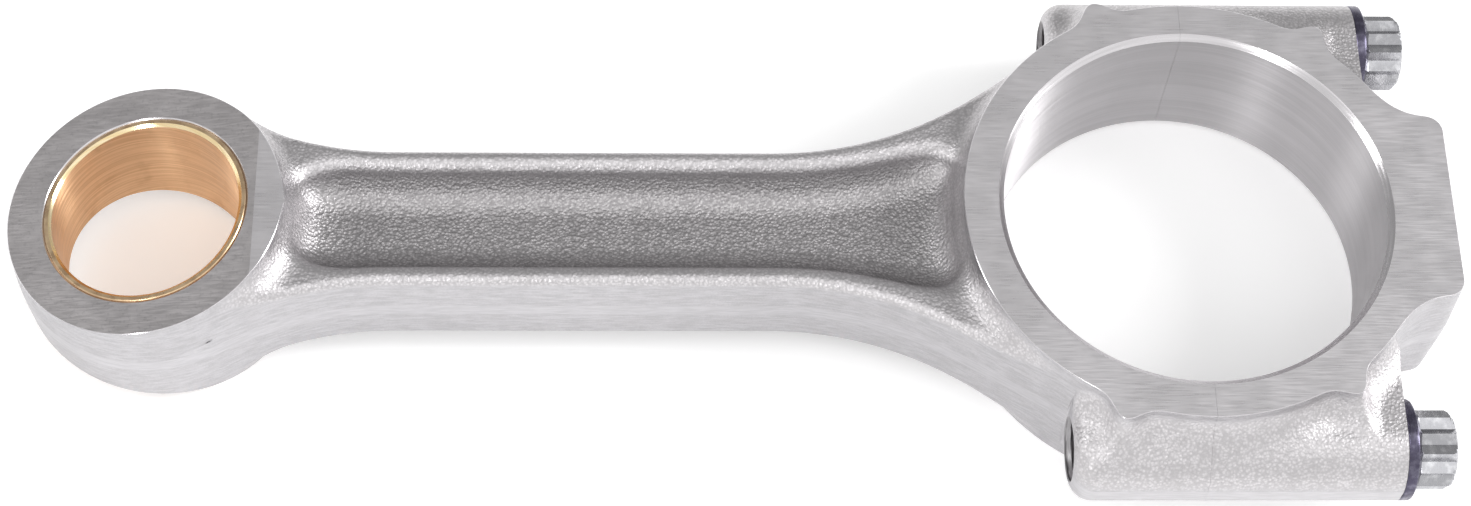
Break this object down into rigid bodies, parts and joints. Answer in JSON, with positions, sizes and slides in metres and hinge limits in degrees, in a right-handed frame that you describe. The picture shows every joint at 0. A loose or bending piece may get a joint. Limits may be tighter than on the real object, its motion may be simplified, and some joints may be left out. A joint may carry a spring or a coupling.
{
  "type": "connecting rod",
  "caption": "Forged I-beam connecting rod with a bushed keystone small end, a bolted big-end cap and a balance pad, joining a gudgeon pin to a crankpin.",
  "frame": {"origin": "centre of the crankpin bore, half way through the width of the big end", "axes": "+X from the gudgeon pin through the crankpin towards the cap, +Z along both bores, +Y across the rod"},
  "size_m": [0.1993, 0.0768, 0.024],
  "materials": {
    "forged_steel_rod": "shot-peened forging with ground faces and a honed bore",
    "forged_steel_cap": "shot-peened forging with ground faces and a honed bore",
    "bush_bronze": "fine-bored tin bronze",
    "bolt_steel_left": "dark phosphated high-tensile steel",
    "bolt_steel_right": "dark phosphated high-tensile steel"
  },
  "bodies": {
    "rod": {"rod": "forged_steel_rod", "small_end_bush": "bush_bronze"},
    "cap": {"cap": "forged_steel_cap"},
    "bolt_left": {"cap_bolt_left": "bolt_steel_left"},
    "bolt_right": {"cap_bolt_right": "bolt_steel_right"}
  },
  "joints": [
    {"name": "cap_draw", "type": "slide", "parent": "rod", "child": "cap", "axis": [1, 0, 0], "range_m": [0, 0.05]},
    {"name": "bolt_left_draw", "type": "slide", "parent": "cap", "child": "bolt_left", "axis": [1, 0, 0], "range_m": [0, 0.05]},
    {"name": "bolt_right_draw", "type": "slide", "parent": "cap", "child": "bolt_right", "axis": [1, 0, 0], "range_m": [0, 0.05]}
  ]
}
